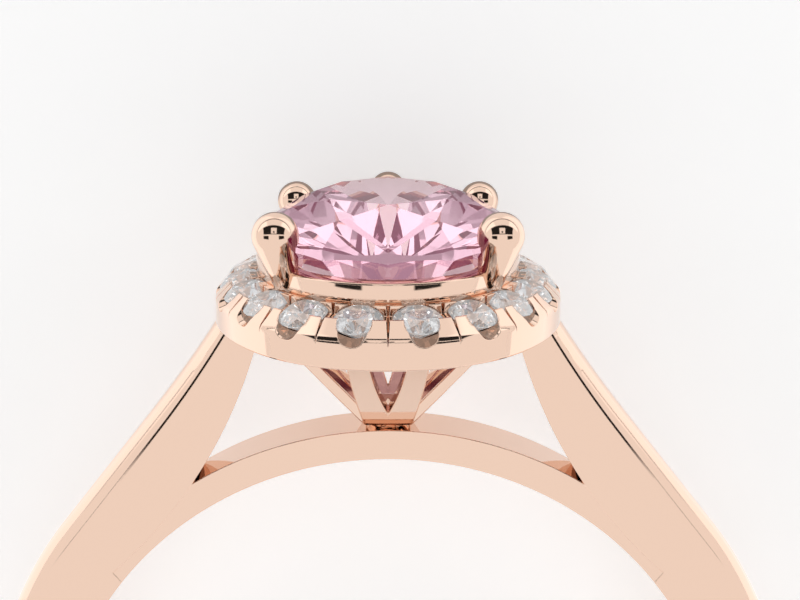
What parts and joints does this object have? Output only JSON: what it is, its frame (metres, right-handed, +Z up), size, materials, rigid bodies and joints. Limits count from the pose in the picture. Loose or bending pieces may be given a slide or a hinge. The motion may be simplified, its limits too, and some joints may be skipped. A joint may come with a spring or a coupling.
{
  "type": "halo ring",
  "caption": "Rose gold finger ring with a pear cut pink centre stone in a halo of small clear stones, on a tulip basket between cathedral shoulders.",
  "frame": {"origin": "middle of the box around the ring, at its bottom, on the table it lies on", "axes": "+Z up from the table, +Y along the ring from the back of its shank to the stone, +X across the finger hole"},
  "size_m": [0.021, 0.026, 0.0109],
  "materials": {
    "rose_gold": "polished",
    "pink_stone": "polished",
    "clear_stone": "polished"
  },
  "bodies": {
    "root": {"setting": "rose_gold", "centre_stone": "pink_stone", "halo_stone_01": "clear_stone", "halo_stone_02": "clear_stone", "halo_stone_03": "clear_stone", "halo_stone_04": "clear_stone", "halo_stone_05": "clear_stone", "halo_stone_06": "clear_stone", "halo_stone_07": "clear_stone", "halo_stone_08": "clear_stone", "halo_stone_09": "clear_stone", "halo_stone_10": "clear_stone", "halo_stone_11": "clear_stone", "halo_stone_12": "clear_stone", "halo_stone_13": "clear_stone", "halo_stone_14": "clear_stone", "halo_stone_15": "clear_stone", "halo_stone_16": "clear_stone", "halo_stone_17": "clear_stone", "halo_stone_18": "clear_stone", "halo_stone_19": "clear_stone", "halo_stone_20": "clear_stone", "halo_stone_21": "clear_stone"}
  },
  "joints": []
}
